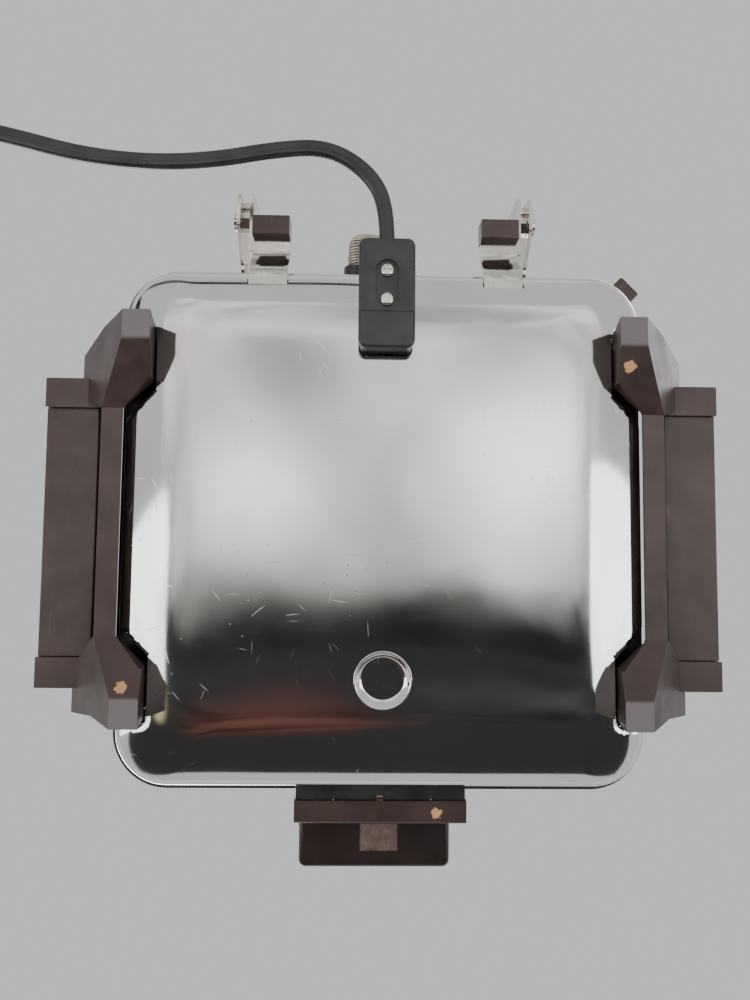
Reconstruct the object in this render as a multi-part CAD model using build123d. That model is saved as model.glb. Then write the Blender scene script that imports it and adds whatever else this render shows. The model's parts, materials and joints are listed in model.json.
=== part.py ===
from build123d import *
import math
import os

# Waffle maker: square chrome shells, cast waffle grids, phenolic handles, floating hinges at the rear.
# Millimetres. +Z up, +Y to the rear, where the hinges are; the user stands at -Y with +X to the right.
# z = 0 is the table under the four feet.

# ---------------------------------------------------------------- driving dimensions
body_width = 284.0          # base and lid shells over their rims, along X
body_depth = 280.0          # along Y
rim_corner = 28.0           # corner radius of the rim
sheet = 1.0                 # shell sheet
crease_inset = 9.5          # the skirt flares out by this much from the crease to the rim
belly_inset = 28.0          # flat bottom inside the rim, per side
belly_corner = 22.0
crease_corner = 26.0
belly_height = 14.0         # flat underside above the table
crease_height = 25.0
rim_height = 54.0           # top of the base shell's rim
lid_crown = 11.0            # crease to flat top of the lid
lid_skirt = 29.0            # rim to crease of the lid
ledge = 7.0                 # inward return of each rim, which carries the grid's flange

grid_flange = 3.0           # thickness of the cast flange between the rims
grid_proud = 2.0            # flange outside the rim, all round
grid_gap = 0.6              # between the two flanges when closed
cook_side = 229.0           # baking area, square
cook_depth = 9.0            # cavity below the flange's face
grid_wall = 3.5             # cast wall round and under the cavity
peg_rows = 4                # pegs per section, each way
peg_foot = 16.5             # peg at its root
peg_tip = 10.5              # peg at its tip
peg_height = 7.0
rib_width = 6.0             # cross rib that divides the four sections

reflector_side = 182.0      # square tray under the element
reflector_lift = 9.0        # reflector above the shell's floor
reflector_sheet = 0.8
element_diameter = 6.5      # sheathed heating element
insulator_height = 8.0
insulator_diameter = 12.0
insulator_y = -20.0         # row of insulators under the element
element_columns = (24.0, 50.0, 76.0)   # its straight runs, either side of the middle
element_rear = 62.0         # where the first run turns
element_turn = 20.0         # rear turns of the outer runs
element_front = -78.0       # front turns
element_bend = 9.0          # bend radius at the element's middle line
lead_x = 5.0                # the two cold ends, side by side
lead_y = 99.0
cold_end = 12.0             # length of each cold end below the element
post_diameter = 8.0         # posts that carry the reflector
post_place = 80.0
terminal_block_height = 12.0

foot_x = 120.7              # centre of each foot pad
foot_y = 92.9               # from the feet's middle
foot_middle = 2.2           # the feet's middle, to the rear of the body's
foot_width = 13.2
foot_length = 13.2
leg_inner = 117.0           # leg's near face at the bar's level, inside the shell's pocket
leg_bend = 71.0             # where that face turns towards the bar
bar_bottom = 19.0           # underside of the handle's inner bar
bar_inner = 132.0           # inner bar, near face at its underside
bar_width = 11.0
bar_half = 57.0             # inner bar's straight stretch, half length
grip_inner = 148.0          # grip, near face
grip_outer = 178.0          # grip, far face: half the overall width
grip_half = 80.5            # grip, half length
grip_middle = -5.0          # the grip sits this far to the front of the feet's middle
end_block = 15.5            # length of the solid block at each end of the grip
grip_bottom = 34.0
grip_top = 56.0
grip_wall = 4.0
panel_recess = 2.5          # grip panel behind the end blocks
panel_thickness = 2.5
pocket_y0 = 66.0            # pocket in the shell's side behind each foot, along its upright wall
pocket_y1 = 100.0
pocket_flare = 26.0         # its side towards the body's middle slants by this much out to the rim
pocket_x = 116.0            # the pocket's upright wall
pocket_top = 42.0
spacer_outer = 128.0        # black spacer from the pocket's wall to the handle's boss
spacer_half = 7.0           # half its height and length
handle_screw = 4.0          # screw through shell, spacer and boss
handle_screw_y = 85.0
handle_screw_height = 29.0
handle_screw_depth = 9.0    # blind depth in the boss
leg_top = 40.0

front_bar_width = 88.0      # base's front bar
front_bar_near = 141.0      # its rear face, from the body's middle
front_bar_depth = 11.5
front_bar_bottom = 33.0
front_bar_height = 17.0
front_block_width = 87.0    # black spacer that carries the bar
lid_handle_width = 83.0
lid_handle_x = 2.5          # its middle, to the right of the body's middle
lid_handle_near = 153.0
lid_handle_depth = 34.0
lid_handle_bottom = 62.0
lid_handle_height = 20.0
window_width = 21.0         # signal-lamp window in the lid handle's underside
window_depth = 15.0
window_y = -171.0           # middle of the window
handle_wall = 3.0           # walls of the lid handle
handle_back = 8.0           # its thicker wall towards the lid
cap_thickness = 3.0         # cover plate on top of the lid handle
front_screw = 4.0           # screws of the front bar and of the lid handle
front_screw_x = (-30.0, 30.0)
front_screw_height = 42.0
front_screw_grip = 8.0      # depth of thread in the bar
lid_screw_height = 71.0
lid_screw_grip = 6.0
recess_y = -76.5            # round sunken seat in the belly
recess_mouth = 28.0
recess_floor = 20.5
recess_depth = 6.0

box_width = 27.8            # terminal box under the rear of the base
box_front = 85.5
box_length = 54.5
box_cover = 6.4             # height of the cover
box_corner = 4.0
screw_rear = 123.8          # the two cover screws
screw_front = 109.3
box_split = 8.0             # joint between housing and cover, above the table
cover_screw = 3.0
screw_head = 1.8
recess_sunk = 1.2           # depth of the screws' stadium recess
cover_line = 102.8          # shallow line across the cover
stub_half = 9.0             # the terminal box's neck through the shell's floor
stub_front = 92.0
stub_rear = 106.0

strap_x = 61.0              # middle of each hinge strap
strap_width = 20.0
strap_sheet = 2.0
leaf_height = 33.0          # underside of the strap's flat leaf
leaf_end = 161.0
strap_slot_middle = 22.0    # middle of the strap where it passes the shell
ear_half = 7.5              # half width of the ear round the pin's slot
hinge_y = 170.0             # hinge axis
hinge_z = 52.0
hinge_pin = 6.0             # pin diameter
hinge_rise = 8.0            # how far the lid floats up as a waffle rises
arm_x = 80.0                # inner face of the lid's hinge arm
arm_sheet = 2.0
arm_reach = 14.0            # arm behind the hinge axis
flange_inner = 36.0         # the arm's flange on the lid's wall starts here
flange_sheet = 1.5
stop_y = 179.5              # round stop at the arm's tail
stop_z = 55.0
bumper_front = 152.5        # phenolic bumper on the leaf's end
bumper_length = 11.0
bumper_height = 12.0

lever_height = 77.0         # middle of the browning lever
lever_swing = 20.0          # degrees each way
lever_width = 7.0
lever_sheet = 2.0
knob_width = 14.7
knob_length = 15.0
knob_height = 11.0
knob_centre = 40.0          # from the lever's pivot

conduit_diameter = 9.0      # coiled guard of the wires between base and lid
conduit_x = 16.0            # base end; the lid end is at -conduit_x
conduit_base_z = 44.0
conduit_lid_z = 71.0
conduit_start = 141.0
conduit_apex = 158.0
grommet_diameter = 13.0

cord_width = 8.0            # flat two-conductor cord
cord_thick = 4.5
coil_middle = 88.0          # diameter at the middle of the coil's turns
coil_radial = 17.0
coil_height = 9.8
coil_x = 243.0
coil_y = 150.0
plug_width = 24.0
plug_length = 34.0
plug_height = 15.0
blade_pitch = 12.7          # standard two-blade plug
blade_width = 6.35
blade_length = 17.0
blade_sheet = 1.5

# ---------------------------------------------------------------- clearances
air = 0.3                   # curved faces of different bodies, and loose fits
screw_fit = 0.05            # screw shank in its hole
running = 0.05              # pin in its bore, radial

# ---------------------------------------------------------------- the cord's route and its two ends
cord_route = [(0, 140, 8), (0, 158, 8), (9, 175, 6), (30, 187, 4.3), (56, 185, 4.2), (86, 179, 4.2),
              (118, 177, 4.2), (152, 180, 4.2), (184, 188, 4.2), (212, 193, 4.2)]
tail_start = (287.0, 121.0, 4.6)
tail_end = (287.0, 103.0, 7.5)

# ---------------------------------------------------------------- worked out from the above
flange_top = rim_height + grid_flange
lid_flange = flange_top + grid_gap            # underside of the lid grid's flange
lid_rim = lid_flange + grid_flange            # underside of the lid shell's rim
mirror_height = rim_height + lid_rim          # z -> mirror_height - z turns base levels into lid levels
lid_crease = lid_rim + lid_skirt
lid_top = lid_crease + lid_crown
floor_top = belly_height + sheet
rear_limit = hinge_y + arm_reach
front_limit = lid_handle_near + lid_handle_depth
lever_x = -(body_width / 2 - rim_corner)      # the lever's pivot: centre of the rim's corner arc
lever_y = body_depth / 2 - rim_corner
shift_y = (front_limit - rear_limit) / 2      # puts the origin under the middle of the object

PARTS = {}


def keep(name, *shapes):
    """Store one node: its solids, moved so that the origin is under the middle of the object."""
    solids = [Pos(0, shift_y, 0) * solid for shape in shapes for solid in shape.solids()]
    PARTS[name] = solids[0] if len(solids) == 1 else Compound(solids)


def block(x0, x1, y0, y1, z0, z1):
    """A box between two corners."""
    return Pos((x0 + x1) / 2, (y0 + y1) / 2, (z0 + z1) / 2) * Box(x1 - x0, y1 - y0, z1 - z0)


def rod(x, y, z0, z1, diameter):
    """An upright cylinder."""
    return Pos(x, y, (z0 + z1) / 2) * Cylinder(diameter / 2, z1 - z0)


def rod_x(x0, x1, y, z, diameter):
    """A cylinder along X."""
    return Pos((x0 + x1) / 2, y, z) * Rot(0, 90, 0) * Cylinder(diameter / 2, x1 - x0)


def rod_y(x, y0, y1, z, diameter):
    """A cylinder along Y."""
    return Pos(x, (y0 + y1) / 2, z) * Rot(90, 0, 0) * Cylinder(diameter / 2, y1 - y0)


def outline(inset, z, corner):
    """The rounded square of the body, drawn in by inset, at height z."""
    return Pos(0, 0, z) * RectangleRounded(body_width - 2 * inset, body_depth - 2 * inset, corner)


def prism_x(points, x0, x1):
    """A polygon in the YZ plane, from x0 to x1."""
    face = make_face(Plane.YZ * Polyline(points, close=True))
    return Pos(x0, 0, 0) * extrude(face, amount=x1 - x0, dir=(1, 0, 0))


def prism_y(points, y0, y1):
    """A polygon in the XZ plane, from y0 to y1."""
    wire = Polyline([(x, y0, z) for x, z in points], close=True)
    return extrude(make_face(wire), amount=y1 - y0, dir=(0, 1, 0))


def flip(shape):
    """A base piece turned into the lid's piece: mirrored about the parting plane."""
    return Pos(0, 0, mirror_height) * mirror(shape, Plane.XY)


def both_sides(shape):
    """The piece and its mirror image across the YZ plane."""
    return [shape, mirror(shape, Plane.YZ)]


def dish(inset, floor, crease, rim):
    """The solid between flat, crease and rim, drawn in by inset all round."""
    flat = outline(belly_inset + inset, floor, belly_corner)
    bend = outline(crease_inset + inset, crease, crease_corner)
    top = outline(inset, rim, rim_corner - inset)
    return loft([flat, bend], ruled=True) + loft([bend, top], ruled=True)


# ---------------------------------------------------------------- shells
def wall_y(z):
    """Half depth of the base shell's outside at height z on its skirt."""
    share = (z - crease_height) / (rim_height - crease_height)
    return body_depth / 2 - crease_inset * (1 - share)


def pockets(grow):
    """The four sunken pockets behind the feet, or the space their sheet takes when grown."""
    cuts = []
    for side in (1, -1):
        for end in (1, -1):
            x0, x1 = pocket_x - grow, body_width / 2 + 5
            y0, y1 = pocket_y0 - grow, pocket_y1 + grow
            plan = make_face(Polyline((x0, y0), (x1, y0 - pocket_flare), (x1, y1), (x0, y1), close=True))
            low = belly_height - 5
            pocket = Pos(0, 0, low) * extrude(plan, amount=pocket_top + grow - low)
            pocket = fillet(pocket.edges().filter_by(Axis.Z).group_by(Axis.X)[0], 6 + grow)
            pocket = pocket if side > 0 else mirror(pocket, Plane.YZ)
            pocket = pocket if end > 0 else mirror(pocket, Plane.XZ)
            cuts.append(pocket)
    return cuts


def recess(grow):
    """The round sunken seat in the middle of the belly's front half."""
    top = belly_height + recess_depth + grow
    low = Pos(0, recess_y, belly_height) * Circle(recess_mouth / 2 + grow)
    high = Pos(0, recess_y, top) * Circle(recess_floor / 2 + grow)
    return loft([low, high])


def base_shell():
    outside = dish(0, belly_height, crease_height, rim_height)
    inside = dish(sheet, belly_height + sheet, crease_height + sheet / 2, rim_height - sheet)
    mouth = outline(ledge, rim_height - 2 * sheet, rim_corner - ledge)
    opening = extrude(mouth, amount=4 * sheet)
    shell = outside - inside - opening
    for solid, space in zip(pockets(0), pockets(sheet)):
        shell = shell + (outside & space) - solid
    shell = shell + (recess(sheet) & block(-30, 30, -120, -30, belly_height, 60)) - recess(0)
    shell -= block(-stub_half - air, stub_half + air, stub_front - air, stub_rear + air,
                   belly_height - 1, floor_top + 1)
    slot_half = strap_sheet / 2 + air
    for x in (-strap_x, strap_x):
        shell -= block(x - strap_width / 2 - air, x + strap_width / 2 + air, body_depth / 2 - 24,
                       body_depth / 2 - 8, strap_slot_middle - slot_half, strap_slot_middle + slot_half)
    for y in (-handle_screw_y, handle_screw_y):
        shell -= rod_x(-body_width / 2, body_width / 2, y, handle_screw_height,
                       handle_screw + 2 * screw_fit)
    shell -= rod_y(conduit_x, body_depth / 2 - 20, body_depth / 2 + 1, conduit_base_z,
                   grommet_diameter + 2 * screw_fit)
    return drill_front(shell, front_screw_height)


def lid_shell():
    outside = flip(dish(0, mirror_height - lid_top, mirror_height - lid_crease, rim_height))
    inside = flip(dish(sheet, mirror_height - lid_top + sheet, mirror_height - lid_crease + sheet / 2,
                       rim_height - sheet))
    opening = flip(extrude(outline(ledge, rim_height - 2 * sheet, rim_corner - ledge), amount=4 * sheet))
    shell = outside - inside - opening - lever_window()
    shell -= rod_y(-conduit_x, body_depth / 2 - 20, body_depth / 2 + 1, conduit_lid_z,
                   grommet_diameter + 2 * screw_fit)
    for place in arm_rivet_places():
        hole = place * Cylinder(2 + screw_fit, 20)
        shell = shell - hole - mirror(hole, Plane.YZ)
    return drill_lid(shell)


def lever_window():
    """Slot in the lid's rear corner, wide enough for the lever's whole swing."""
    half = math.radians(lever_swing + 15)
    middle = math.radians(135)
    corners = [(0, 0)]
    for angle in (middle - half, middle + half):
        corners.append((44 * math.cos(angle), 44 * math.sin(angle)))
    face = make_face(Polyline(corners, close=True))
    inner = Circle(12)
    slot = extrude(face - inner, amount=lever_sheet + 2 * air)
    return Pos(lever_x, lever_y, lever_height - lever_sheet / 2 - air) * slot


# ---------------------------------------------------------------- cooking grids and heat
def waffle_grid():
    """Base grid: flange on the rim, tray below it, pegs in four sections."""
    flange = extrude(outline(-grid_proud, rim_height, rim_corner + grid_proud), amount=grid_flange)
    tray_side = cook_side + 2 * grid_wall
    floor = flange_top - cook_depth
    tray = Pos(0, 0, floor - grid_wall) * extrude(RectangleRounded(tray_side, tray_side, 12),
                                                  amount=rim_height - floor + grid_wall)
    cavity = Pos(0, 0, floor) * extrude(RectangleRounded(cook_side, cook_side, 9), amount=cook_depth + 1)
    grid = flange + tray - cavity
    section = (cook_side - rib_width) / 2
    pitch = section / peg_rows
    top = floor + peg_height
    half_rib = rib_width / 2
    grid += block(-half_rib, half_rib, -cook_side / 2, cook_side / 2, floor - 1, top)
    grid += block(-cook_side / 2, cook_side / 2, -half_rib, half_rib, floor - 1, top)
    peg = loft([Rectangle(peg_foot, peg_foot), Pos(0, 0, peg_height) * Rectangle(peg_tip, peg_tip)])
    places = [half_rib + pitch * (i + 0.5) for i in range(peg_rows)]
    places += [-p for p in places]
    grid += [Pos(x, y, floor) * peg for x in places for y in places]
    return grid


def heater(z):
    """Sheathed element: one serpentine at height z, with its two cold ends side by side at the rear."""
    half = [(lead_x, lead_y, z - cold_end), (lead_x, lead_y, z), (lead_x, element_rear, z)]
    for column, x in enumerate(element_columns):
        ends = (element_rear if column == 0 else element_turn, element_front)
        ends = ends if column % 2 == 0 else ends[::-1]
        half += [(x, ends[0], z), (x, ends[1], z)]
    points = half + [(-x, y, level) for x, y, level in half[::-1]]
    path = FilletPolyline(*points, radius=element_bend)
    section = Plane(origin=path @ 0, z_dir=path % 0) * Circle(element_diameter / 2)
    return sweep(section, path=path)


def heat_stack(floor):
    """What stands on a shell's inner floor: terminal block, posts, reflector, insulators, element."""
    plate = floor + reflector_lift
    seat_top = plate + reflector_sheet + insulator_height
    level = seat_top + air + element_diameter / 2
    posts = [rod(x, y, floor, plate, post_diameter) for x in (-post_place, post_place)
             for y in (-post_place, post_place)]
    reflector = Pos(0, 0, plate) * extrude(RectangleRounded(reflector_side, reflector_side, 6),
                                           amount=reflector_sheet)
    insulators = [rod(side * x, insulator_y, plate + reflector_sheet, seat_top, insulator_diameter)
                  for side in (1, -1) for x in element_columns]
    ceramic = block(-12, 12, lead_y - 6, lead_y + 6, floor, floor + terminal_block_height)
    for side in (1, -1):
        ceramic -= rod(side * lead_x, lead_y, level - cold_end - 1, floor + 20,
                       element_diameter + 2 * running)
    return {"terminal_block": [ceramic], "reflector_posts": posts, "reflector": [reflector],
            "insulators": insulators, "heating_element": [heater(level)]}


# ---------------------------------------------------------------- side handles
def side_handle():
    """Phenolic handle of the +X side: inner bar, hollow grip with two solid ends, legs and feet."""
    top_inner = body_width / 2 + grid_proud + 2.5
    bar_outer = bar_inner + bar_width
    under_top = grip_top - grip_wall
    wall_bottom = grip_bottom + panel_recess + panel_thickness
    middle = [(bar_inner, bar_bottom), (bar_outer, bar_bottom), (grip_inner - 0.5, under_top),
              (grip_outer - grip_wall, under_top), (grip_outer - grip_wall, wall_bottom),
              (grip_outer, wall_bottom), (grip_outer, grip_top), (top_inner, grip_top)]
    end = [(bar_inner, bar_bottom), (bar_outer, bar_bottom), (grip_inner + 2, grip_bottom),
           (grip_outer, grip_bottom), (grip_outer, grip_top), (top_inner, grip_top)]
    hollow = grip_half - end_block
    handle = prism_y(middle, grip_middle - hollow, grip_middle + hollow)
    for side in (1, -1):
        y0, y1 = sorted((side * hollow, side * grip_half))
        handle += prism_y(end, grip_middle + y0, grip_middle + y1)
        handle += leg(side)
    grip_edges = handle.edges().filter_by(Axis.Y).group_by(Axis.X)[-1]
    handle = fillet(grip_edges.filter_by(lambda e: e.center().Z > grip_bottom + 4), 3)
    for side, y in ((1, handle_screw_y), (-1, -handle_screw_y)):
        handle -= rod_x(spacer_outer - 1, spacer_outer + handle_screw_depth, y, handle_screw_height,
                        handle_screw + 2 * screw_fit)
    return handle


def leg(side):
    """One leg: from the handle's bar down and inward to its foot pad, with the boss for its screw."""
    far_y = side * foot_middle + foot_y + foot_length / 2
    pad = (foot_x - foot_width / 2, foot_x + foot_width / 2, far_y - foot_length, far_y, 0.0)
    wide = (leg_inner, bar_inner + bar_width, bar_half, min(far_y, pocket_y1) - 1.5, bar_bottom)
    narrow = (bar_inner - 1,) + wide[1:]
    top = (bar_inner + 11, bar_inner + 29, bar_half + 13 + side * grip_middle,
           foot_y + 1 + side * grip_middle, leg_top)
    pad, wide, narrow, top = [Pos((x0 + x1) / 2, side * (y0 + y1) / 2, z) * Rectangle(x1 - x0, y1 - y0)
                              for x0, x1, y0, y1, z in (pad, wide, narrow, top)]
    foot = loft([pad, wide], ruled=True)
    corner = make_face(Polyline((0, 0), (bar_inner, 0), (bar_inner, bar_half), (leg_inner, leg_bend),
                                (0, leg_bend), close=True))
    corner = extrude(corner, amount=bar_bottom)
    foot -= corner if side > 0 else mirror(corner, Plane.XZ)
    y0, y1 = sorted((side * (handle_screw_y - spacer_half), side * (handle_screw_y + spacer_half)))
    return foot + loft([narrow, top], ruled=True) + block(
        spacer_outer, bar_inner + 11, y0, y1, handle_screw_height - spacer_half,
        handle_screw_height + spacer_half)


def grip_panel():
    """Flat panel that closes the underside of the +X grip between its end blocks."""
    half = grip_half - end_block - air
    z = grip_bottom + panel_recess
    panel = block(grip_inner + 2.5, grip_outer, grip_middle - half, grip_middle + half,
                  z, z + panel_thickness)
    return fillet(panel.edges().filter_by(Axis.Y).group_by(Axis.Z)[0], 0.8)


def handle_spacers():
    """Black blocks between the shell's pockets and the +X handle's bosses."""
    spacers = []
    for side in (1, -1):
        y0, y1 = sorted((side * (handle_screw_y - spacer_half), side * (handle_screw_y + spacer_half)))
        spacer = block(pocket_x, spacer_outer, y0, y1, handle_screw_height - spacer_half,
                       handle_screw_height + spacer_half)
        spacers.append(spacer - rod_x(pocket_x - 1, spacer_outer + 1, side * handle_screw_y,
                                      handle_screw_height, handle_screw + 2 * screw_fit))
    return spacers


def handle_screws():
    """Pan-head screws from inside the shell into the +X handle's bosses."""
    screws = []
    wall = pocket_x - sheet
    for y in (handle_screw_y, -handle_screw_y):
        head = rod_x(wall - 2.6, wall, y, handle_screw_height, 8)
        shank = rod_x(wall - 0.5, spacer_outer + handle_screw_depth - 1, y, handle_screw_height,
                      handle_screw)
        screws.append(head + shank)
    return screws


# ---------------------------------------------------------------- front bar and lid handle
def front_spacer():
    """Black block between the base's front wall and the front bar."""
    low, high = front_bar_bottom + 1.5, front_bar_bottom + front_bar_height - 1
    points = [(-wall_y(low), low), (-wall_y(high), high), (-front_bar_near, high), (-front_bar_near, low)]
    half = front_block_width / 2
    spacer = prism_x(points, -half, half)
    return drill_front(spacer, front_screw_height)


def drill_front(shape, z):
    for x in front_screw_x:
        shape -= rod_y(x, -front_bar_near - front_screw_grip, -120, z, front_screw + 2 * screw_fit)
    return shape


def front_bar():
    half = front_bar_width / 2
    bar = block(-half, half, -front_bar_near - front_bar_depth, -front_bar_near,
                front_bar_bottom, front_bar_bottom + front_bar_height)
    bar = fillet(bar.edges().filter_by(Axis.X).group_by(Axis.Y)[0], 2)
    return drill_front(bar, front_screw_height)


def front_screws(z, wall, tip):
    """Two screws from inside a front wall: head behind the wall, tip ahead of it."""
    screws = []
    for x in front_screw_x:
        head = rod_y(x, -wall, -wall + 2.5, z, 7.5)
        screws.append(head + rod_y(x, -tip, -wall + 1, z, front_screw))
    return screws


def lid_wall_y(z):
    """Half depth of the lid's outside at height z on its skirt."""
    share = (lid_crease - z) / lid_skirt
    return body_depth / 2 - crease_inset * (1 - share)


def lid_spacer():
    """Black block between the lid's front wall and its handle."""
    low, high = lid_handle_bottom + 3, lid_handle_bottom + 15
    points = [(-lid_wall_y(low), low), (-lid_wall_y(high), high), (-lid_handle_near, high),
              (-lid_handle_near, low)]
    half = lid_handle_width / 2 - 1
    return drill_lid(prism_x(points, lid_handle_x - half, lid_handle_x + half))


def drill_lid(shape):
    for x in front_screw_x:
        shape -= rod_y(x, -lid_handle_near - lid_screw_grip, -120, lid_screw_height,
                       front_screw + 2 * screw_fit)
    return shape


def lid_handle():
    """Hollow handle of the lid, open on top, with the signal lamp's window in its underside."""
    left, right = lid_handle_x - lid_handle_width / 2, lid_handle_x + lid_handle_width / 2
    near, far = lid_handle_near, lid_handle_near + lid_handle_depth
    top = lid_handle_bottom + lid_handle_height - cap_thickness
    handle = block(left, right, -far, -near, lid_handle_bottom, top)
    handle = fillet(handle.edges().filter_by(Axis.Z).group_by(Axis.Y)[0], 4)
    handle = fillet(handle.edges().group_by(Axis.Z)[0].filter_by(Axis.X).group_by(Axis.Y)[0], 2.5)
    handle -= block(left + handle_wall, right - handle_wall, -far + handle_wall, -near - handle_back,
                    lid_handle_bottom + handle_wall, top + 1)
    handle -= block(-window_width / 2, window_width / 2, window_y - window_depth / 2,
                    window_y + window_depth / 2, lid_handle_bottom - 1, lid_handle_bottom + 6)
    return drill_lid(handle)


def lid_handle_cap():
    left, right = lid_handle_x - lid_handle_width / 2, lid_handle_x + lid_handle_width / 2
    near, far = lid_handle_near, lid_handle_near + lid_handle_depth
    top = lid_handle_bottom + lid_handle_height
    cap = block(left, right, -far, -near, top - cap_thickness, top)
    cap = fillet(cap.edges().filter_by(Axis.Z).group_by(Axis.Y)[0], 4)
    return fillet(cap.edges().group_by(Axis.Z)[-1], 1.8)


def lamp_lens():
    """Lens with a lip, dropped into the window from inside."""
    w, d = window_width / 2 - 0.1, window_depth / 2 - 0.1
    floor = lid_handle_bottom + handle_wall
    lens = block(-w, w, window_y - d, window_y + d, lid_handle_bottom + 0.6, floor)
    return lens + block(-w - 2, w + 2, window_y - d - 2, window_y + d + 2, floor, floor + 1.2)


def lamp():
    """Neon lamp lying on the lens."""
    floor = lid_handle_bottom + handle_wall + 1.2
    return rod_x(-8, 8, window_y, floor + air + 3, 6)


# ---------------------------------------------------------------- terminal box and cord
def terminal_plan(grow, z0, z1):
    plan = Rectangle(box_width - 2 * grow, box_length - 2 * grow)
    body = extrude(fillet(plan.vertices(), box_corner - grow), amount=z1 - z0)
    return Pos(0, box_front + box_length / 2, z0) * body


def terminal_housing():
    """Upper half of the terminal box, under the belly, with a neck through the shell's floor."""
    housing = terminal_plan(0.8, box_split, belly_height)
    housing += block(-stub_half, stub_half, stub_front, stub_rear, belly_height, floor_top)
    cavity = block(-box_width / 2 + 3.5, box_width / 2 - 3.5, box_front + 5, box_front + box_length - 6,
                   box_split, belly_height - 2)
    for y in (screw_rear, screw_front):
        cavity -= rod(0, y, box_split, belly_height - 2, 7.5)
    housing -= cavity
    for y in (screw_rear, screw_front):
        housing -= rod(0, y, box_split - 1, belly_height - 1.5, cover_screw + 2 * screw_fit)
    housing -= block(-4, 4, box_front, box_front + 3, box_split, box_split + 2.2)
    return housing


def stadium(width, length):
    return SlotOverall(length, width, rotation=90)


def terminal_cover():
    """Lower half of the terminal box, with the long recess for its two screws."""
    cover = terminal_plan(0, box_split - box_cover, box_split)
    cover = fillet(cover.faces().sort_by(Axis.Z)[0].edges(), 1.2)
    middle = (screw_rear + screw_front) / 2
    low = box_split - box_cover
    cover -= Pos(0, middle, low) * extrude(stadium(11, 25), amount=recess_sunk)
    for y in (screw_rear, screw_front):
        cover -= rod(0, y, low - 1, box_split + 1, cover_screw + 2 * screw_fit)
    cover -= block(-box_width, box_width, cover_line, cover_line + 0.5, low - 1, low + 0.35)
    return cover


def cover_screws():
    """Two cross-recessed pan-head screws, heads down."""
    screws = []
    seat_z = box_split - box_cover + recess_sunk
    for y, turn in ((screw_rear, 8), (screw_front, 40)):
        head = rod(0, y, seat_z - screw_head, seat_z, 6.6)
        head = fillet(head.edges().group_by(Axis.Z)[0], 1.2)
        cross = Box(4.2, 0.9, 1.2) + Box(0.9, 4.2, 1.2)
        head -= Pos(0, y, seat_z - screw_head) * Rot(0, 0, turn) * cross
        screws.append(head + rod(0, y, seat_z - 0.2, belly_height - 2.5, cover_screw))
    return screws


def cord_tube():
    """Free stretch of the cord: straight runs joined by arcs as large as the runs allow."""
    radii = []
    for before, point, after in zip(cord_route, cord_route[1:], cord_route[2:]):
        a, b = Vector(*point) - Vector(*before), Vector(*after) - Vector(*point)
        turn = math.radians(a.get_angle(b))
        radii.append(0.45 * min(a.length, b.length) / math.tan(turn / 2))
    path = FilletPolyline(*cord_route, radius=radii)
    tube = sweep(Plane(origin=path @ 0, z_dir=path % 0) * Circle(cord_width / 2), path=path)
    print("cord radii mm:", [round(r) for r in radii], "length", round(path.length, 1))
    print("cord volume against section x length:",
          round(tube.volume / (math.pi * cord_width ** 2 / 4 * path.length), 4))
    return tube


def cord_coil():
    """Outer shape of the put-away turns."""
    ring = Cylinder(coil_middle / 2 + coil_radial / 2, coil_height)
    ring -= Cylinder(coil_middle / 2 - coil_radial / 2, coil_height)
    ring = fillet(ring.edges().filter_by(GeomType.CIRCLE), 3)
    return Pos(coil_x, coil_y, coil_height / 2) * ring


def cord_tail():
    """Short end of the cord between the coil and the plug."""
    start, end = Vector(*tail_start), Vector(*tail_end)
    line = Line(start, end)
    return sweep(Plane(origin=start, z_dir=line % 0) * Circle(cord_thick / 2), path=line)


def plug():
    """Two-blade mains plug lying on the table, blades forward."""
    x, y, _ = tail_end
    half = plug_width / 2
    body = block(x - half, x + half, y - plug_length, y, 0, plug_height)
    body = fillet(body.edges().filter_by(Axis.Y), 4)
    return fillet(body.edges().group_by(Axis.Y)[-1], 2)


def plug_blades():
    x, y, _ = tail_end
    blades = []
    for side in (-1, 1):
        middle = x + side * blade_pitch / 2
        blade = block(middle - blade_sheet / 2, middle + blade_sheet / 2,
                      y - plug_length - blade_length, y - plug_length,
                      plug_height / 2 - blade_width / 2, plug_height / 2 + blade_width / 2)
        hole = rod_x(middle - 2, middle + 2, y - plug_length - blade_length + 4, plug_height / 2, 3)
        blades.append(blade - hole)
    return blades


# ---------------------------------------------------------------- hinges
def hinge_bracket(x):
    """Base half of one hinge: strap through the shell's rear, flat leaf, ear with an upright slot."""
    middle = leaf_height + strap_sheet / 2
    route = [(x, 94, floor_top + strap_sheet / 2), (x, 106, floor_top + strap_sheet / 2),
             (x, 112, strap_slot_middle), (x, 131, strap_slot_middle), (x, 142, middle),
             (x, leaf_end, middle)]
    path = FilletPolyline(*route, radius=[4, 4, 9, 9])
    section = Plane(origin=path @ 0, x_dir=(1, 0, 0), z_dir=path % 0) * Rectangle(strap_width, strap_sheet)
    strap = sweep(section, path=path)
    near, far = hinge_y - ear_half, hinge_y + ear_half
    top = hinge_z + hinge_rise + 8
    ear = prism_x([(146, leaf_height), (far, leaf_height), (far, top - 4), (far - 4, top),
                   (near + 4, top), (near, top - 4), (near, leaf_height + 9),
                   (146, leaf_height + strap_sheet)],
                  strap_x + strap_width / 2, strap_x + strap_width / 2 + strap_sheet)
    width = hinge_pin + 2 * running
    slot = block(60, 80, hinge_y - width / 2, hinge_y + width / 2, hinge_z, hinge_z + hinge_rise)
    slot += rod_x(60, 80, hinge_y, hinge_z, width) + rod_x(60, 80, hinge_y, hinge_z + hinge_rise, width)
    ear -= slot
    return strap + (ear if x > 0 else mirror(ear, Plane.YZ))


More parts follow.
